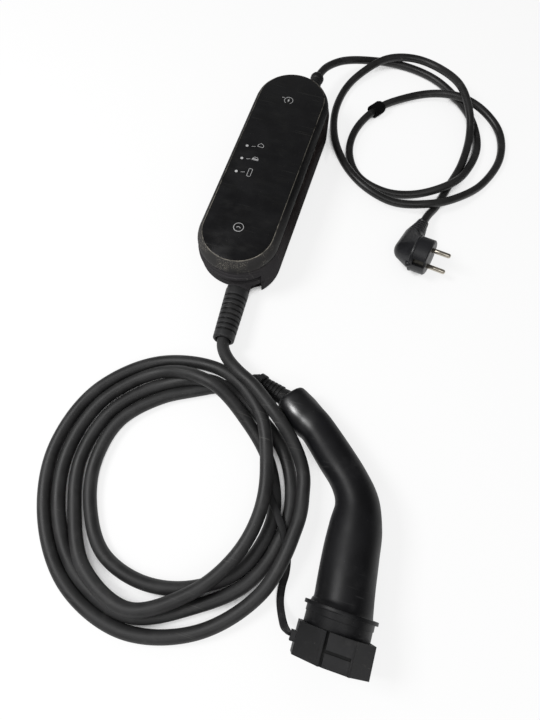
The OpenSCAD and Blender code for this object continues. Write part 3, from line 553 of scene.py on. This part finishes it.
# Finishes; those without a colour take it from the settings
FINISHES = {
    "panel": dict(name="Panel gloss", rough=0.22, tone=0.25, scratches=0.36, dust=0.3, grain=900.0, bump=0.01,
                  mark=(0.06, 0.058, 0.055), spec=0.4, extra=panel_film),
    "bezel": dict(name="Bezel plastic", rough=0.55, tone=0.3, scratches=0.5, dust=0.15, spec=0.06,
                  extra=worn_edge),
    "case": dict(name="Housing plastic", rough=0.65, tone=0.3, scratches=0.3, dust=0.15, spec=0.006,
                 extra=case_tint),
    "grip": dict(name="Grip rubber", rough=0.55, tone=0.3, scratches=0.2, dust=0.5, grain=1100.0, bump=0.15,
                 spec=0.25),
    "boot": dict(name="Boot rubber", rough=0.5, tone=0.3, scratches=0.2, dust=0.5, grain=1100.0, bump=0.15,
                 spec=0.35, extra=boot_groove_shade),
    "mains": dict(name="Mains jacket", rough=0.42, tone=0.3, scratches=0.25, dust=0.35, grain=1200.0,
                  bump=0.1, spec=0.4),
    "lead": dict(name="Lead jacket", rough=0.54, tone=0.34, scratches=0.25, dust=0.4, grain=1200.0, bump=0.12,
                 spec=0.42),
    "plug": dict(name="Plug plastic", rough=0.4, tone=0.3, scratches=0.3, dust=0.3, spec=0.4),
    "handle": dict(name="Handle plastic", rough=0.5, tone=0.3, scratches=0.35, dust=0.35, grain=1800.0,
                   bump=0.05, mark=(0.07, 0.07, 0.07), extra=polished_heel),
    "cap": dict(name="Cap rubber", rough=0.62, tone=0.3, scratches=0.3, dust=0.45, grain=1300.0, bump=0.15,
                spec=0.25, extra=cap_groove_shade),
    "seal": dict(name="Seal rubber", color=(0.004, 0.004, 0.004), rough=0.8, tone=0.2, scratches=0.0,
                 dust=0.2, spec=0.1),
    "tie": dict(name="Hook and loop", color=(0.0045, 0.0045, 0.005), rough=0.95, tone=0.4, scratches=0.0,
                dust=0.15, grain=2500.0, bump=0.6, spec=0.1),
    "nickel": dict(name="Plated pins", color=(0.5, 0.46, 0.39), rough=0.3, tone=0.2, scratches=0.5, dust=0.2,
                   grain=900.0, bump=0.05, mark=(0.2, 0.18, 0.15), metal=1.0),
    # Earth clips darkened as painted shade for their recesses
    "tarnish": dict(name="Tarnished clips", color=(0.09, 0.085, 0.075), rough=0.5, tone=0.3, scratches=0.4,
                    dust=0.3, metal=1.0),
    "carrier": dict(name="Carrier plastic", color=(0.02, 0.02, 0.022), rough=0.45),
    "silver": dict(name="Plated contacts", color=(0.6, 0.59, 0.55), rough=0.3, tone=0.15, scratches=0.2,
                   dust=0.1, metal=1.0),
    "icons": dict(name="Printed icons", color=(0.42, 0.42, 0.42), rough=0.5, tone=0.25, scratches=0.0,
                  dust=0.0),
    "steel": dict(name="Screw steel", color=(0.45, 0.45, 0.46), rough=0.35, tone=0.2, scratches=0.4, dust=0.2,
                  metal=1.0),
    "board": dict(name="Board lacquer", color=(0.015, 0.12, 0.05), rough=0.35, tone=0.3),
    "dark": dict(name="Moulded parts", color=(0.02, 0.021, 0.024), rough=0.5),
    "tape": dict(name="Winding tape", color=(0.5, 0.32, 0.06), rough=0.5),
    "terminal": dict(name="Terminal plastic", color=(0.05, 0.18, 0.09), rough=0.5),
    "lens": dict(name="Light lenses", color=(0.6, 0.6, 0.58), rough=0.25),
    "copper": dict(name="Copper", color=(0.6, 0.3, 0.13), rough=0.4, metal=1.0),
}
LOOKS = {}


def look(finish):
    """The named finish as a material, made on first use."""
    if finish not in LOOKS:
        values = dict(FINISHES[finish])
        if "color" not in values:
            values["color"] = tuple(getattr(bpy.context.scene.charger_finishes, finish))
        LOOKS[finish] = surface(**values)
    return LOOKS[finish]


# Geometry nodes

def lead_tree():
    """A round lead along a path of edges."""
    tree = bpy.data.node_groups.new("Round lead", "GeometryNodeTree")
    socket(tree, "Path", "INPUT", "NodeSocketGeometry")
    socket(tree, "Radius", "INPUT", "NodeSocketFloat", 0.005)
    socket(tree, "Sides", "INPUT", "NodeSocketInt", 24)
    socket(tree, "Material", "INPUT", "NodeSocketMaterial")
    socket(tree, "Lead", "OUTPUT", "NodeSocketGeometry")
    net = Net(tree)
    inp = net.add("NodeGroupInput").outputs
    line = net.add("GeometryNodeMeshToCurve", {"Mesh": inp["Path"]})
    circle = net.add("GeometryNodeCurvePrimitiveCircle", {"Resolution": inp["Sides"],
                                                          "Radius": inp["Radius"]})
    tube = net.add("GeometryNodeCurveToMesh", {"Curve": line.outputs[0], "Fill Caps": True,
                                               "Profile Curve": circle.outputs["Curve"]})
    real = net.add("GeometryNodeRealizeInstances", {"Geometry": tube.outputs[0]})
    painted = net.add("GeometryNodeSetMaterial", {"Geometry": real.outputs[0], "Material": inp["Material"]})
    net.add("NodeGroupOutput", {"Lead": painted.outputs[0]})
    return tree


def fuzz_tree():
    """Short loops scattered over a fabric face."""
    tree = bpy.data.node_groups.new("Fabric fuzz", "GeometryNodeTree")
    socket(tree, "Fabric", "INPUT", "NodeSocketGeometry")
    socket(tree, "Density", "INPUT", "NodeSocketFloat", 1.0)
    socket(tree, "Loop Size", "INPUT", "NodeSocketFloat", 0.0004)
    socket(tree, "Seed", "INPUT", "NodeSocketInt", 3)
    socket(tree, "Material", "INPUT", "NodeSocketMaterial")
    socket(tree, "Fuzz", "OUTPUT", "NodeSocketGeometry")
    net = Net(tree)
    inp = net.add("NodeGroupInput").outputs
    spots = net.add("GeometryNodeDistributePointsOnFaces", {"Mesh": inp["Fabric"], "Density": inp["Density"],
                                                            "Seed": inp["Seed"]})
    ball = net.add("GeometryNodeMeshIcoSphere", {"Radius": inp["Loop Size"], "Subdivisions": 1})
    size = net.add("FunctionNodeRandomValue", data_type="FLOAT")
    for key, value in (("Min", 0.5), ("Max", 1.3)):
        next(s for s in size.inputs if s.name == key and s.type == "VALUE").default_value = value
    placed = net.add("GeometryNodeInstanceOnPoints", {
        "Points": spots.outputs["Points"], "Instance": ball.outputs["Mesh"],
        "Rotation": spots.outputs["Rotation"], "Scale": next(s for s in size.outputs if s.type == "VALUE")})
    real = net.add("GeometryNodeRealizeInstances", {"Geometry": placed.outputs[0]})
    both = net.add("GeometryNodeJoinGeometry")
    tree.links.new(inp["Fabric"], both.inputs[0])
    tree.links.new(real.outputs[0], both.inputs[0])
    painted = net.add("GeometryNodeSetMaterial", {"Geometry": both.outputs[0], "Material": inp["Material"]})
    net.add("NodeGroupOutput", {"Fuzz": painted.outputs[0]})
    return tree


TREES = {}


def run_tree(obj, maker, **values):
    """Puts a node tree on an object, sets its inputs and makes the result plain mesh."""
    if maker not in TREES:
        TREES[maker] = maker()
    mod = obj.modifiers.new("Nodes", "NODES")
    mod.node_group = TREES[maker]
    for item in TREES[maker].interface.items_tree:
        key = item.name.replace(" ", "_").lower()
        if item.in_out == "INPUT" and key in values:
            mod[item.identifier] = values[key]
    return bake(obj)


def round_lead(name, path, d, sides, finish):
    mesh = bpy.data.meshes.new(name)
    mesh.from_pydata([tuple(p) for p in path * MM], [(i, i + 1) for i in range(len(path) - 1)], [])
    obj = new_object(name, mesh)
    run_tree(obj, lead_tree, radius=d / 2 * MM, sides=sides, material=look(finish))
    shade(obj.data, 40)
    return obj


# Settings

class ChargerLeadSettings(bpy.types.PropertyGroup):
    mains_d: bpy.props.FloatProperty(name="Mains lead", description="Diameter of the mains lead",
                                     default=MAINS_D * MM, unit="LENGTH", subtype="DISTANCE")
    vehicle_d: bpy.props.FloatProperty(name="Vehicle lead", description="Diameter of the vehicle lead",
                                       default=LEAD_D * MM, unit="LENGTH", subtype="DISTANCE")
    sides: bpy.props.IntProperty(name="Sides", description="Number of faces round a lead", default=28, min=8,
                                 max=64)


def color_setting(name, description, default):
    return bpy.props.FloatVectorProperty(name=name, description=description, default=default, subtype="COLOR",
                                         size=3, min=0.0, max=1.0)


class ChargerFinishSettings(bpy.types.PropertyGroup):
    panel: color_setting("Panel", "Colour of the glossy front panel", (0.0062, 0.0062, 0.0068))
    bezel: color_setting("Bezel", "Colour of the sloped front shell", (0.005, 0.0049, 0.0052))
    case: color_setting("Rear shell", "Colour of the deep rear shell", (0.011, 0.0103, 0.0105))
    grip: color_setting("Grips", "Colour of the strain relief and the grommet", (0.011, 0.011, 0.0115))
    boot: color_setting("Lead boot", "Colour of the ribbed lead boot", (0.019, 0.019, 0.0196))
    mains: color_setting("Mains lead", "Colour of the mains lead's jacket", (0.014, 0.0137, 0.0138))
    lead: color_setting("Vehicle lead", "Colour of the vehicle lead's jacket", (0.02, 0.0199, 0.0203))
    plug: color_setting("Plug", "Colour of the plug's body", (0.0105, 0.0105, 0.0125))
    handle: color_setting("Handle", "Colour of the connector's handle and nose", (0.003, 0.003, 0.004))
    cap: color_setting("Cap", "Colour of the protective cap and its tether", (0.015, 0.015, 0.0157))


class ChargerStageSettings(bpy.types.PropertyGroup):
    key: bpy.props.FloatProperty(name="Window", description="Power of the window light on the left",
                                 default=11.0, unit="POWER")
    top: bpy.props.FloatProperty(name="Top light", description="Power of the large soft light above",
                                 default=5.0, unit="POWER")
    fill: bpy.props.FloatProperty(name="Fill", description="Level of the light from all sides", default=0.45)
    mirror: bpy.props.FloatProperty(name="Mirrored fill",
                                    description="Level of the surroundings seen in gloss", default=0.12)
    backdrop: bpy.props.FloatProperty(name="White floor",
                                      description="Share of the floor that shows plain white", default=0.8,
                                      min=0.0, max=1.0, subtype="FACTOR")


# Operators

class CHARGER_OT_stage(bpy.types.Operator):
    """Camera, floor and studio light"""
    bl_idname = "charger.stage"
    bl_label = "Stage"

    def execute(self, context):
        settings = context.scene.charger_stage
        context.scene.view_settings.view_transform = "Standard"
        self.camera(context.scene)
        self.floor(settings)
        self.surroundings(context.scene, settings)
        self.lights(context.scene, settings)
        return {"FINISHED"}

    def camera(self, scene):
        data = bpy.data.cameras.new("Camera")
        data.lens = LENS
        data.sensor_width = SENSOR
        data.clip_start = 0.01
        camera = bpy.data.objects.new("Camera", data)
        scene.collection.objects.link(camera)
        right, ahead = Vector(CAMERA_RIGHT), Vector(CAMERA_AHEAD)
        turn = Matrix((right, right.cross(ahead), -ahead)).transposed().to_4x4()
        camera.matrix_world = Matrix.Translation(CAMERA_AT) @ turn
        scene.camera = camera

    def floor(self, settings):
        """A pale floor that shows mostly white, except in the narrow gaps between strands."""
        corners = [(x * FLOOR_HALF, y * FLOOR_HALF, 0) for x, y in ((-1, -1), (1, -1), (1, 1), (-1, 1))]
        mesh = build_mesh("floor", corners, [(0, 1, 2, 3)])
        mat = bpy.data.materials.new("Floor")
        mat.use_nodes = True
        net = Net(mat.node_tree)
        pale = net.mix(net.noise(net.place(), 3.0), (0.9, 0.9, 0.9, 1.0), (0.93, 0.93, 0.93, 1.0))
        shader = net.add("ShaderNodeBsdfPrincipled", {"Base Color": pale})
        shader.inputs["Roughness"].default_value = 0.9
        shader.inputs["Specular IOR Level"].default_value = 0.0
        ray = net.add("ShaderNodeLightPath").outputs
        seen = net.math("MAXIMUM", ray["Is Glossy Ray"], ray["Is Transmission Ray"])
        seen = net.math("MAXIMUM", ray["Is Camera Ray"], seen)
        open_sky = net.add("ShaderNodeAmbientOcclusion", {"Distance": 0.02}, samples=8)
        seen = net.math("MULTIPLY", seen, net.ramp(open_sky.outputs["AO"], 0.21, 0.35))
        white = net.add("ShaderNodeEmission", {"Color": (1.0, 1.0, 1.0, 1.0), "Strength": 1.0})
        both = net.add("ShaderNodeMixShader", {0: net.math("MULTIPLY", seen, settings.backdrop),
                                               1: shader.outputs[0], 2: white.outputs[0]})
        net.add("ShaderNodeOutputMaterial", {"Surface": both.outputs[0]})
        new_object("floor", mesh, mat)

    def surroundings(self, scene, settings):
        """Even light from all sides, dimmer in reflections and white behind the floor."""
        world = bpy.data.worlds.new("Studio")
        scene.world = world
        world.use_nodes = True
        net = Net(world.node_tree)
        ray = net.add("ShaderNodeLightPath").outputs
        mirrored = net.math("MULTIPLY", ray["Is Glossy Ray"], settings.mirror - settings.fill)
        level = net.math("ADD", mirrored, settings.fill)
        level = net.math("MAXIMUM", level, ray["Is Camera Ray"])
        back = net.add("ShaderNodeBackground", {"Color": (1.0, 1.0, 1.0, 1.0), "Strength": level})
        net.add("ShaderNodeOutputWorld", {"Surface": back.outputs[0]})

    def lights(self, scene, settings):
        for setting, name, at, aim, size in LIGHTS:
            light = bpy.data.lights.new(name, "AREA")
            light.size = size
            light.energy = getattr(settings, setting)
            lamp = bpy.data.objects.new(name, light)
            scene.collection.objects.link(lamp)
            lamp.location = at
            lamp.rotation_euler = (Vector(aim) - Vector(at)).to_track_quat("-Z", "Y").to_euler()


class CHARGER_OT_leads(bpy.types.Operator):
    """The mains lead, the coiled vehicle lead and the cap's tether"""
    bl_idname = "charger.leads"
    bl_label = "Leads"

    def execute(self, context):
        settings = context.scene.charger_leads
        mains_d, vehicle_d = settings.mains_d / MM, settings.vehicle_d / MM
        route = smooth_path(MAINS_ROUTE, 4.0)
        mains = round_lead("mains_lead_look", route, mains_d, settings.sides, "mains")
        own(mains, "mains_jacket", ROOT, "mains_lead")
        strap = smooth_path(TETHER_ROUTE, 2.5)
        coil = smooth_path(settle(smooth_path(coil_route(), 6.0), vehicle_d, strap), 3.0)
        lead = round_lead("vehicle_lead_look", coil, vehicle_d, settings.sides, "lead")
        own(lead, "lead_jacket", ROOT, "lead_start", "lead_coil", "lead_end")
        self.tether(strap)
        return {"FINISHED"}

    def tether(self, strap):
        """A flat strap that turns on edge over its last tenth, where it meets the cap."""
        w, t = STRAP_W / 2, STRAP_T / 2
        cut_w, cut_t = STRAP_CUT
        corner = [(w, t - cut_t), (w - cut_w, t)]
        half = corner + [(-x, z) for x, z in reversed(corner)]
        section = half + [(-x, -z) for x, z in half]
        _, side, up = frames_along(strap)
        last = len(strap) - 1
        rings = []
        for i, point in enumerate(strap):
            turn = math.radians(90 * min(1.0, max(0.0, (i / last - 0.9) / 0.1)))
            across = math.cos(turn) * side[i] + math.sin(turn) * up[i]
            out = math.cos(turn) * up[i] - math.sin(turn) * side[i]
            rings.append([point + x * across + z * out for x, z in section])
        mesh = loft_mesh("cap_tether_look", rings)
        obj = new_object("cap_tether_look", mesh, look("cap"))
        shade(mesh, 50)
        own(obj, "cap_rubber", None, "cap_tether")
        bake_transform(obj)


class CHARGER_OT_box(bpy.types.Operator):
    """The control box with its panel, bezel, seal, rear case and printed icons"""
    bl_idname = "charger.box"
    bl_label = "Control box"

    def execute(self, context):
        refine("front_panel", "panel", "panel", 0.25)
        refine("front_shell", "bezel", "bezel", 0.3)
        refine("case_seal", "seal", "seal", 0.0)
        refine("rear_shell", "case", "case", 0.5)
        refine("case_screws", "steel", "steel", 0.15)
        self.icons()
        return {"FINISHED"}

    def icons(self):
        """Printed marks: lights with their house, car and battery, a touch ring and a bolt in a ring."""
        verts, faces = [], []

        def patch(points):
            base = len(verts)
            verts.extend((x, y, PANEL_Z + ICON_RISE) for x, y in points)
            faces.append(tuple(range(base, base + len(points))))

        def arc_points(x, y, r, angles):
            return [(x + r * math.cos(a), y + r * math.sin(a)) for a in angles]

        def disc(x, y, r):
            patch(arc_points(x, y, r, np.linspace(0, 2 * math.pi, 20, endpoint=False)))

        def stroke(points, w, closed=False):
            pts = list(points) + ([points[0]] if closed else [])
            for (x0, y0), (x1, y1) in zip(pts, pts[1:]):
                d = math.hypot(x1 - x0, y1 - y0)
                nx, ny = -(y1 - y0) / d * w / 2, (x1 - x0) / d * w / 2
                patch([(x0 - nx, y0 - ny), (x1 - nx, y1 - ny), (x1 + nx, y1 + ny), (x0 + nx, y0 + ny)])

        def arc(x, y, r, start, end, w):
            stroke(arc_points(x, y, r, np.radians(np.linspace(start, end, 28))), w)

        for y in LIGHT_YS:
            disc(LIGHT_X, y, LIGHT_R)
            stroke([(LIGHT_X + 4.8, y + 0.5), (LIGHT_X + 8.8, y + 1.6)], 0.4)
        stroke(HOUSE, 0.42, True)
        stroke(CAR, 0.5, True)
        stroke(CAR_SILL, 0.9)
        stroke(BATTERY, 0.42, True)
        arc(-0.8, -87.2, 4.9, 0, 360, 0.6)
        arc(-0.8, -88.8, 2.1, 25, 155, 0.7)
        arc(-2.4, 85.9, 4.6, -60, 245, 0.5)
        patch(BOLT)
        stroke(BOLT_DASH, 0.5)
        mesh = build_mesh("panel_icons", np.array(verts) * MM, faces)
        for poly in mesh.polygons:
            if poly.normal.z < 0:
                poly.flip()
        obj = new_object("panel_icons", mesh, look("icons"))
        own(obj, "lens", ROOT)


class CHARGER_OT_inside(bpy.types.Operator):
    """Finishes for the pieces inside the closed box"""
    bl_idname = "charger.inside"
    bl_label = "Inside the box"

    def execute(self, context):
        finishes = {
            "main_board": "board", "board_screws": "steel", "relays": "dark", "current_sensor": "dark",
            "supply_transformer": "tape", "filter_capacitors": "dark", "control_chips": "dark",
            "mains_terminal": "terminal", "lead_terminal": "terminal", "display_board": "board",
            "status_lights": "lens", "touch_sensor": "copper", "link_header": "dark", "mains_cores": "copper",
            "lead_cores": "copper", "relief_nut": "dark", "boot_nut": "dark"}
        for node, finish in finishes.items():
            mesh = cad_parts[node].data
            mesh.materials.clear()
            mesh.materials.append(look(finish))
        return {"FINISHED"}


class CHARGER_OT_grips(bpy.types.Operator):
    """The strain relief, the lead boot, the grommet, the tether ring and the cable tie"""
    bl_idname = "charger.grips"
    bl_label = "Boots and tie"

    def execute(self, context):
        refine("mains_relief", "grip", "grip_rubber", 0.25)
        refine("lead_boot", "boot", "grip_rubber", 0.25)
        refine("connector_grommet", "grip", "grip_rubber", 0.25)
        refine("tether_ring", "cap", "cap_rubber", 0.3)
        self.tie()
        return {"FINISHED"}

    def tie(self):
        """A hook-and-loop strap wound twice round the lead, with its end left standing."""
        yaw = math.radians(TIE_YAW)
        axis = Vector((math.cos(yaw), math.sin(yaw), 0))
        side = Vector((-math.sin(yaw), math.cos(yaw), 0))
        loose_from, loose_to = math.radians(TIE_LOOSE_FROM), math.radians(TIE_TO)
        turns = np.linspace(math.radians(TIE_FROM), loose_to, 90)
        rings = []
        for i, a in enumerate(turns):
            r = TIE_R + TIE_GROWS * i / (len(turns) - 1) + 0.25 * math.sin(3 * a)
            if a > loose_from:
                r += TIE_LOOSE * ((a - loose_from) / (loose_to - loose_from)) ** 2
            out = side * math.cos(a) + Vector((0, 0, 1)) * math.sin(a)
            skew = 1.2 * math.sin(a * 0.7)
            half = TIE_HALF + 0.4 * math.sin(2.3 * a)
            flat = half - 0.3
            section = ((half, 0.15), (flat, 0.85), (-flat, 0.85), (-half, 0.15), (-flat, -0.15),
                       (flat, -0.15))
            rings.append([tuple(Vector(TIE_AT) + axis * (skew + x) + out * (r + z)) for x, z in section])
        mesh = loft_mesh("cable_tie_look", rings)
        if min(v.co.z for v in mesh.vertices) < 0:
            for v in mesh.vertices:
                v.co.z = max(v.co.z, 0.0002)
        obj = new_object("cable_tie_look", mesh)
        run_tree(obj, fuzz_tree, density=2.2e6, loop_size=0.00032, seed=3, material=look("tie"))
        shade(obj.data, 60)
        own(obj, "tie", ROOT, "cable_tie")


class CHARGER_OT_plug(bpy.types.Operator):
    """The mains plug with its pins and earth clips"""
    bl_idname = "charger.plug"
    bl_label = "Plug"

    def execute(self, context):
        refine("plug_body", "plug", "plug_shell", 0.35)
        refine("plug_pins", "nickel", "nickel", 0.2)
        # The earth clips take a darkened metal: painted shade for their recesses
        refine("earth_clips", "tarnish", "nickel", 0.2)
        return {"FINISHED"}


class CHARGER_OT_connector(bpy.types.Operator):
    """The vehicle connector with its handle, nose, contacts and cap"""
    bl_idname = "charger.connector"
    bl_label = "Connector"

    def execute(self, context):
        self.handle()
        refine("connector_nose", "handle", "handle", 0.4)
        refine("contact_carrier", "carrier", "carrier", 0.3)
        refine("power_contacts", "silver", "silver", 0.1)
        refine("signal_contacts", "silver", "silver", 0.1)
        refine("connector_cap", "cap", "cap_rubber", 0.5, body=CAP)
        return {"FINISHED"}

    def handle(self):
        """A bent grip lofted through rounded sections."""
        stations = smooth_path(HANDLE_STATIONS, 1.6)
        _, side, up = frames_along(stations[:, :3])
        side[-1], up[-1] = (-1, 0, 0), (0, 0, 1)
        rings = []
        for i, row in enumerate(stations):
            half_w, half_h, power = row[3:]
            ring = []
            for k in range(HANDLE_SIDES):
                c, s = math.cos(2 * math.pi * k / HANDLE_SIDES), math.sin(2 * math.pi * k / HANDLE_SIDES)
                x = half_w * math.copysign(abs(c) ** (2 / power), c)
                z = half_h * math.copysign(abs(s) ** (2 / power), s)
                ring.append(row[:3] + x * side[i] + z * up[i])
            rings.append(ring)
        mesh = loft_mesh("connector_handle_look", rings)
        obj = new_object("connector_handle_look", mesh, look("handle"))
        shade(mesh, 45)
        own(obj, "handle", ROOT, "connector_handle")


class CHARGER_OT_cords(bpy.types.Operator):
    bl_idname = "charger.cords"
    bl_label = "Declare leads"

    def execute(self, context):
        settings = context.scene.charger_leads
        on_mains = ("plug_body", "plug_pins", "earth_clips", "cable_tie")
        on_lead = ("connector_grommet", "connector_handle", "connector_nose", "tether_ring",
                   "contact_carrier", "power_contacts", "signal_contacts", "connector_cap")
        self.declare("mains", "mains_lead", settings.mains_d, "plug", "loose", on_mains)
        self.declare("lead", "vehicle_lead", settings.vehicle_d, "connector", "coiled", on_lead)
        self.declare("tether", "cap_tether", STRAP_W * MM, "object", "loose", ())
        return {"FINISHED"}

    def declare(self, route, piece, d, far_end, lay, hung):
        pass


STEPS = (CHARGER_OT_stage, CHARGER_OT_leads, CHARGER_OT_box, CHARGER_OT_inside, CHARGER_OT_grips,
         CHARGER_OT_plug, CHARGER_OT_connector, CHARGER_OT_cords)
SETTINGS = {"charger_leads": ChargerLeadSettings, "charger_finishes": ChargerFinishSettings,
            "charger_stage": ChargerStageSettings}


class CHARGER_PT_steps(bpy.types.Panel):
    bl_idname = "CHARGER_PT_steps"
    bl_label = "Portable EV charger"
    bl_space_type = "VIEW_3D"
    bl_region_type = "UI"
    bl_category = "Charger"

    def draw(self, context):
        for step in STEPS:
            self.layout.operator(step.bl_idname)
        for name, settings in SETTINGS.items():
            column = self.layout.column()
            for key in settings.__annotations__:
                column.prop(getattr(context.scene, name), key)


CLASSES = tuple(SETTINGS.values()) + STEPS + (CHARGER_PT_steps,)


def register():
    for cls in CLASSES:
        bpy.utils.register_class(cls)
    for name, settings in SETTINGS.items():
        setattr(bpy.types.Scene, name, bpy.props.PointerProperty(type=settings))


def unregister():
    for name in SETTINGS:
        delattr(bpy.types.Scene, name)
    for cls in reversed(CLASSES):
        bpy.utils.unregister_class(cls)


def main():
    register()
    for step in STEPS:
        package, name = step.bl_idname.split(".")
        getattr(getattr(bpy.ops, package), name)()


if __name__ == "__main__":
    main()
